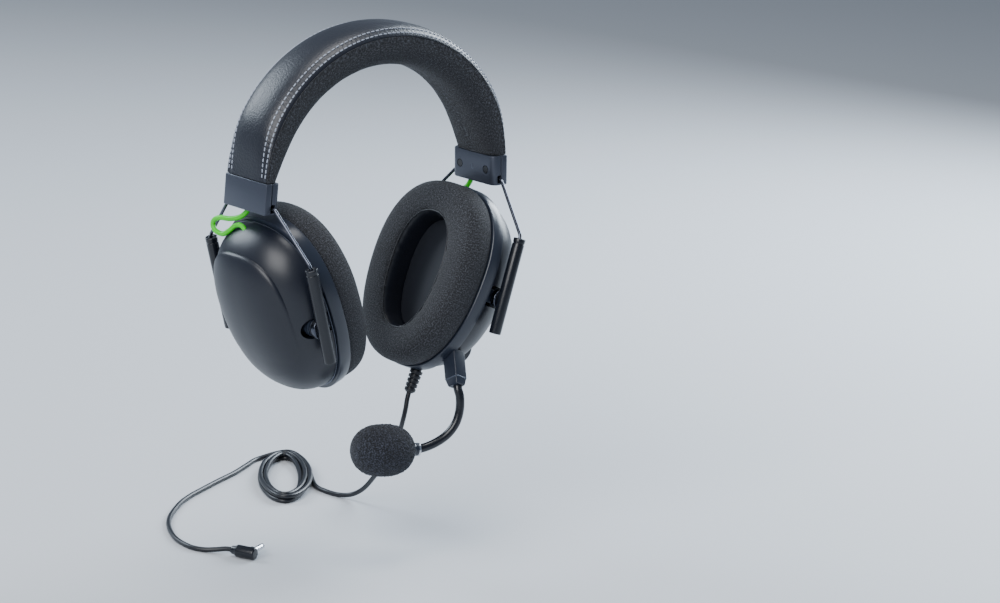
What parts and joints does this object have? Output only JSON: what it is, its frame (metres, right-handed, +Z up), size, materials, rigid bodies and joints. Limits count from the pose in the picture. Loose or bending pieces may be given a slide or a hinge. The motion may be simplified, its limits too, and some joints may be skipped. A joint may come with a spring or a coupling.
{
  "type": "gaming headset",
  "caption": "Over-ear headset: padded leather headband, wire-and-tube sliders, tilting padded cups, plug-in boom microphone, volume knob and coiled cord with a right-angle plug.",
  "frame": {"origin": "underside of the middle of the headband pad, where the headset hangs", "axes": "+X the wearer's left, +Y the back of the head, +Z up"},
  "size_m": [0.1962, 0.2263, 0.3198],
  "materials": {
    "leather": "matte grained black",
    "foam": "open-cell charcoal foam and knit",
    "plastic": "satin blue-black",
    "cap": "satin slate grey",
    "steel": "dark polished steel",
    "gloss": "gloss black",
    "lime": "satin lime green",
    "rubber": "matte black",
    "board": "green circuit board"
  },
  "bodies": {
    "headband": {"headband_cover": "leather", "headband_pad": "foam", "headband_spring": "steel", "cap_outer_left": "cap", "cap_inner_left": "cap", "cap_screw_front_left": "steel", "cap_screw_rear_left": "steel", "slider_wire_front_left": "steel", "slider_wire_rear_left": "steel", "link_cable_left": "lime", "cap_outer_right": "cap", "cap_inner_right": "cap", "cap_screw_front_right": "steel", "cap_screw_rear_right": "steel", "slider_wire_front_right": "steel", "slider_wire_rear_right": "steel", "link_cable_right": "lime", "cord_lead": "rubber", "cord_coil": "rubber", "cord_tail": "rubber", "plug_body": "gloss", "plug_tip": "steel"},
    "slider_left": {"slider_tube_front_left": "gloss", "slider_tube_rear_left": "gloss", "pivot_pin_front_left": "steel", "pivot_pin_rear_left": "steel"},
    "cup_left": {"outer_shell_left": "plastic", "shell_panel_left": "plastic", "mid_housing_left": "plastic", "baffle_left": "plastic", "driver_left": "plastic", "cushion_left": "foam", "scrim_left": "foam", "volume_encoder": "steel", "circuit_board": "board", "mic_socket": "plastic", "strain_relief": "rubber"},
    "slider_right": {"slider_tube_front_right": "gloss", "slider_tube_rear_right": "gloss", "pivot_pin_front_right": "steel", "pivot_pin_rear_right": "steel"},
    "cup_right": {"outer_shell_right": "plastic", "shell_panel_right": "plastic", "mid_housing_right": "plastic", "baffle_right": "plastic", "driver_right": "plastic", "cushion_right": "foam", "scrim_right": "foam"},
    "volume": {"volume_knob": "plastic"},
    "mute": {"mute_button": "rubber"},
    "microphone": {"mic_plug": "plastic", "mic_boom_upper": "gloss"},
    "mic_tip": {"mic_boom_lower": "gloss", "mic_capsule": "plastic", "mic_foam": "foam"}
  },
  "joints": [
    {"name": "slider_left", "type": "slide", "parent": "headband", "child": "slider_left", "axis": [-0.2798, 0, -0.96], "range_m": [0, 0.03], "deforming": ["link_cable_left", "cord_lead"]},
    {"name": "slider_right", "type": "slide", "parent": "headband", "child": "slider_right", "axis": [0.2798, 0, -0.96], "range_m": [0, 0.03], "deforming": ["link_cable_right"]},
    {"name": "cup_tilt_left", "type": "hinge", "parent": "slider_left", "child": "cup_left", "pos_m": [0.06836, 0, -0.14158], "axis": [0, -1, 0], "range_deg": [-6, 18], "deforming": ["link_cable_left", "cord_lead"]},
    {"name": "cup_tilt_right", "type": "hinge", "parent": "slider_right", "child": "cup_right", "pos_m": [-0.06836, 0, -0.14158], "axis": [0, 1, 0], "range_deg": [-6, 18], "deforming": ["link_cable_right"]},
    {"name": "volume_turn", "type": "hinge", "parent": "cup_left", "child": "volume", "pos_m": [0.06742, -0.0068, -0.17939], "axis": [0.9239, 0, -0.3827], "range_deg": [0, 300]},
    {"name": "mute_press", "type": "slide", "parent": "cup_left", "child": "mute", "axis": [0, -1, 0], "range_m": [0, 0.001], "stiffness_N_per_m": 800},
    {"name": "mic_unplug", "type": "slide", "parent": "cup_left", "child": "microphone", "axis": [-0.319, -0.5524, -0.7701], "range_m": [0, 0.014]},
    {"name": "mic_bend", "type": "hinge", "parent": "microphone", "child": "mic_tip", "pos_m": [0.03835, -0.045, -0.2086], "axis": [0, 1, 0], "range_deg": [-30, 20]}
  ]
}
